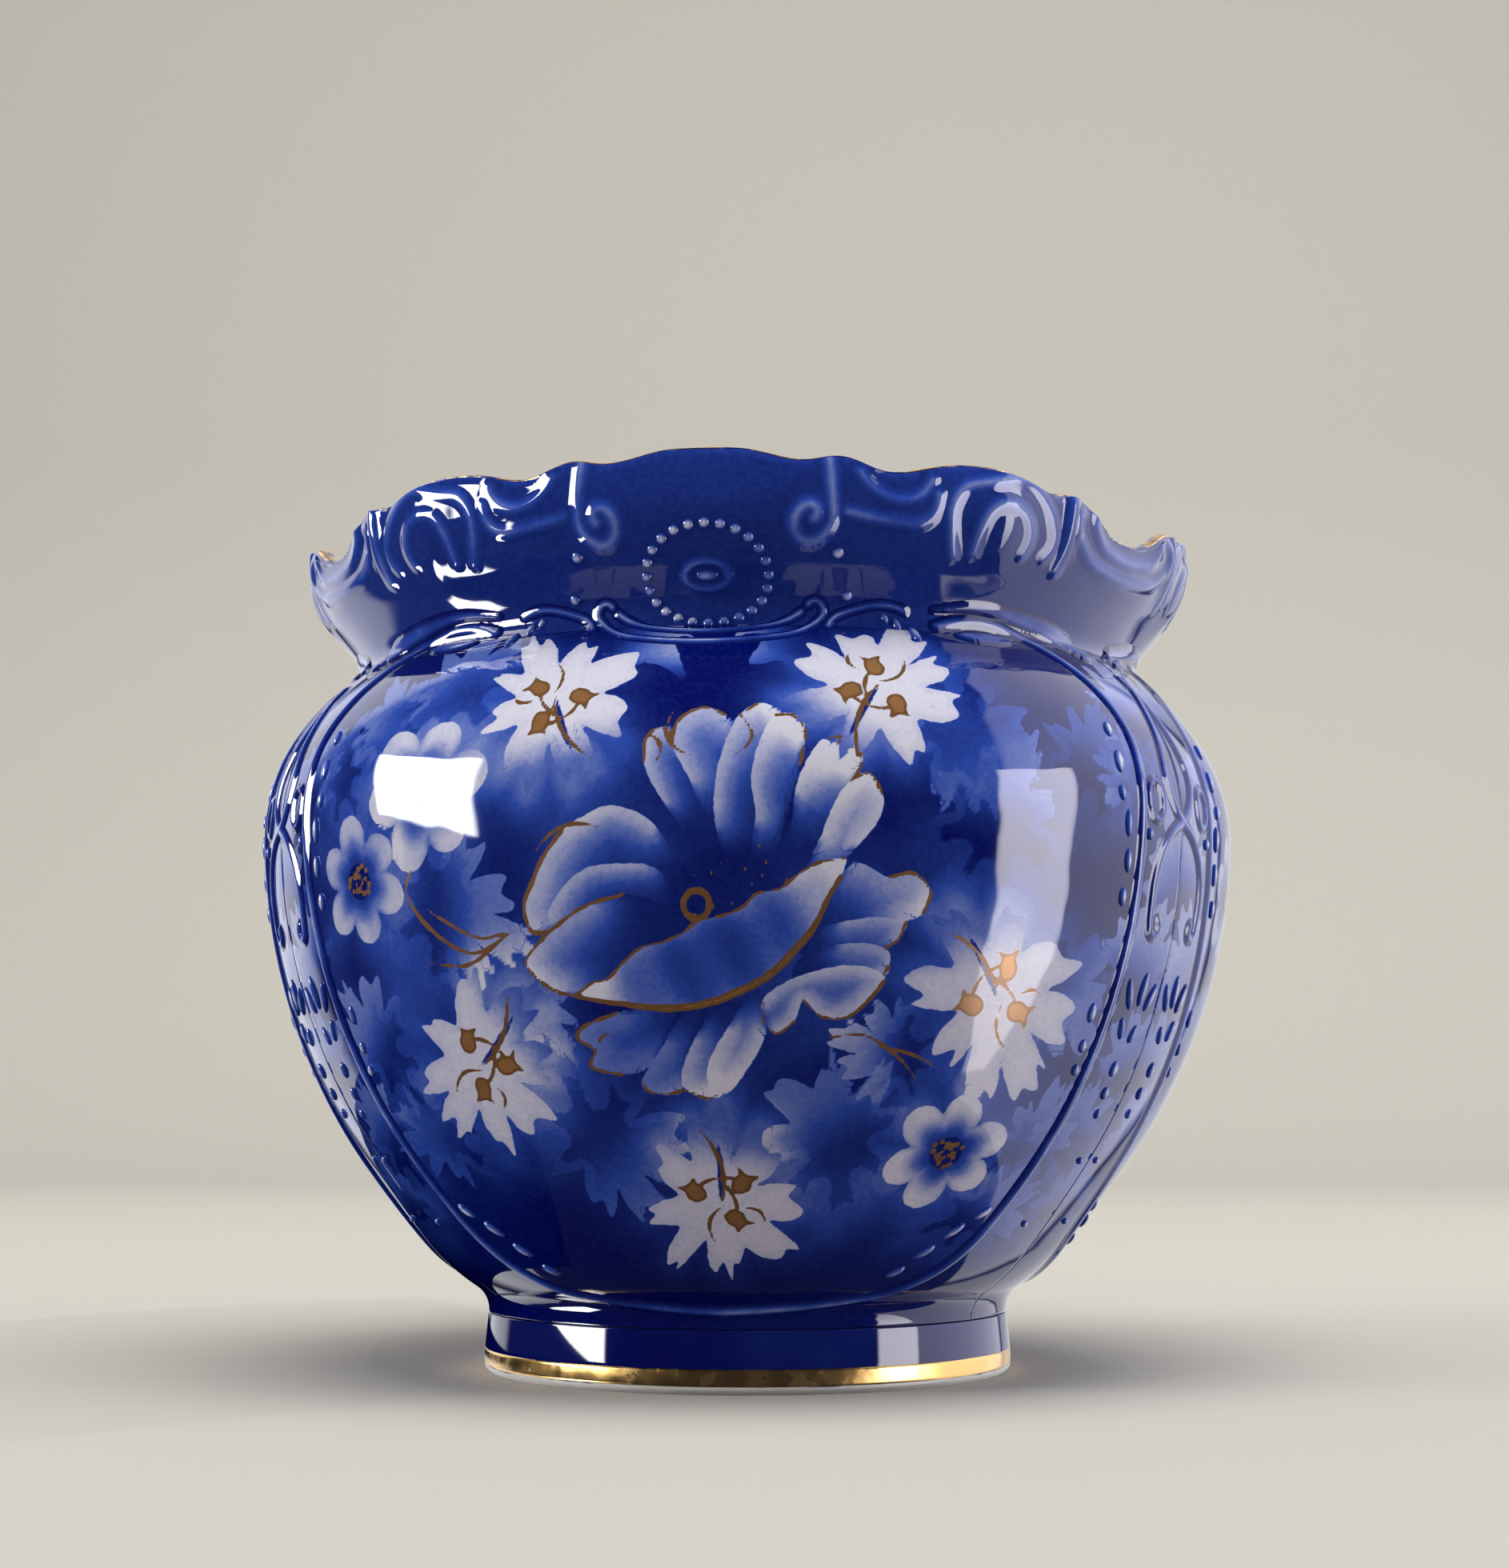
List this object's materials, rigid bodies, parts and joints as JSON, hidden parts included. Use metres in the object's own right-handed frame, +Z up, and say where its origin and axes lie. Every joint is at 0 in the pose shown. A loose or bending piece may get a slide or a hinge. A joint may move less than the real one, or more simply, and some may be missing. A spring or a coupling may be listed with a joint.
{
  "type": "jardiniere planter",
  "caption": "Round-bellied glazed ceramic jardiniere in deep cobalt blue, with a scalloped moulded rim, framed flower panels, gilt lines and a turned foot.",
  "frame": {"origin": "centre of the foot's underside, on the surface that the pot stands on", "axes": "+Z up along the pot's axis, -Y towards the front panel, +X to the viewer's right"},
  "size_m": [0.2586, 0.2599, 0.2211],
  "materials": {
    "blue_glaze": "glossy",
    "inside_glaze": "glossy",
    "gilding": "polished"
  },
  "bodies": {
    "root": {"foot_ring": "blue_glaze", "foot_gilt_band": "gilding", "bowl_floor": "inside_glaze", "bowl_wall": "blue_glaze", "collar": "blue_glaze", "rim_gilding": "gilding", "panel_frame_front": "blue_glaze", "panel_frame_right": "blue_glaze", "panel_frame_left": "blue_glaze", "neck_brackets": "blue_glaze", "neck_arches": "blue_glaze", "neck_shell_flutes": "blue_glaze", "neck_leaves": "blue_glaze", "neck_cushions": "blue_glaze", "medallion_pearls": "blue_glaze", "medallion_rings": "blue_glaze", "medallion_bosses": "blue_glaze", "rim_curls": "blue_glaze", "curl_dots": "blue_glaze", "rim_swags": "blue_glaze", "rim_shells": "blue_glaze", "rim_buds": "blue_glaze", "rim_crescents": "blue_glaze", "lyre_scrolls": "blue_glaze", "drop_loops": "blue_glaze", "frame_pearls": "blue_glaze", "strip_fronds": "blue_glaze", "strip_pearls": "blue_glaze", "low_fronds": "blue_glaze"}
  },
  "joints": []
}
